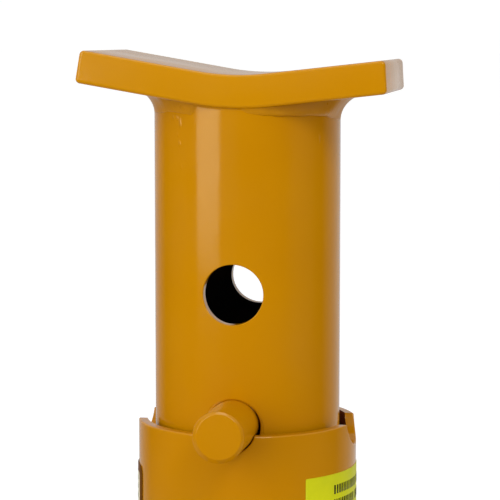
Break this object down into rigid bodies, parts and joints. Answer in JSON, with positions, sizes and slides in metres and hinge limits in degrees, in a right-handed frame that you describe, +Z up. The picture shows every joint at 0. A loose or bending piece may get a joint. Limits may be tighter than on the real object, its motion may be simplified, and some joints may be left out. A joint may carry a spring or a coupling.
{
  "type": "axle jack stand",
  "caption": "Heavy pin-type axle stand: a round post with a V saddle slides in a notched base tube on four braced angle legs and is held by a cross pin.",
  "frame": {"origin": "floor level, on the axis of the post", "axes": "+Z up; the locking pin lies along Y with its pull ring at +Y; the saddle's long side lies along X"},
  "size_m": [0.28, 0.28, 0.3761],
  "materials": {
    "amber_paint": "glossy enamel",
    "zinc_wire": "bright zinc plate",
    "rating_film": "gloss vinyl film",
    "care_film": "gloss vinyl film"
  },
  "bodies": {
    "base": {"base_tube": "amber_paint", "leg_front_left": "amber_paint", "leg_front_right": "amber_paint", "leg_rear_right": "amber_paint", "leg_rear_left": "amber_paint", "foot_front_left": "amber_paint", "foot_front_right": "amber_paint", "foot_rear_right": "amber_paint", "foot_rear_left": "amber_paint", "strut_front_left": "amber_paint", "strut_front_right": "amber_paint", "strut_rear_right": "amber_paint", "strut_rear_left": "amber_paint", "brace_front": "amber_paint", "brace_right": "amber_paint", "brace_rear": "amber_paint", "brace_left": "amber_paint", "leg_welds": "amber_paint", "foot_welds": "amber_paint", "strut_welds": "amber_paint", "brace_welds": "amber_paint", "rating_label": "rating_film", "care_label": "care_film"},
    "column": {"post": "amber_paint", "saddle_plate": "amber_paint", "saddle_weld": "amber_paint"},
    "pin": {"locking_pin": "amber_paint"},
    "ring": {"pull_ring": "zinc_wire"}
  },
  "joints": [
    {"name": "post_lift", "type": "slide", "parent": "base", "child": "column", "axis": [0, 0, 1], "range_m": [0, 0.1074]},
    {"name": "pin_pull", "type": "slide", "parent": "column", "child": "pin", "axis": [0, 0.9993, -0.0366], "range_m": [0, 0.12]},
    {"name": "ring_swing", "type": "hinge", "parent": "pin", "child": "ring", "pos_m": [0, 0.06596, 0.22453], "axis": [1, 0, 0], "range_deg": [-30, 225]}
  ]
}
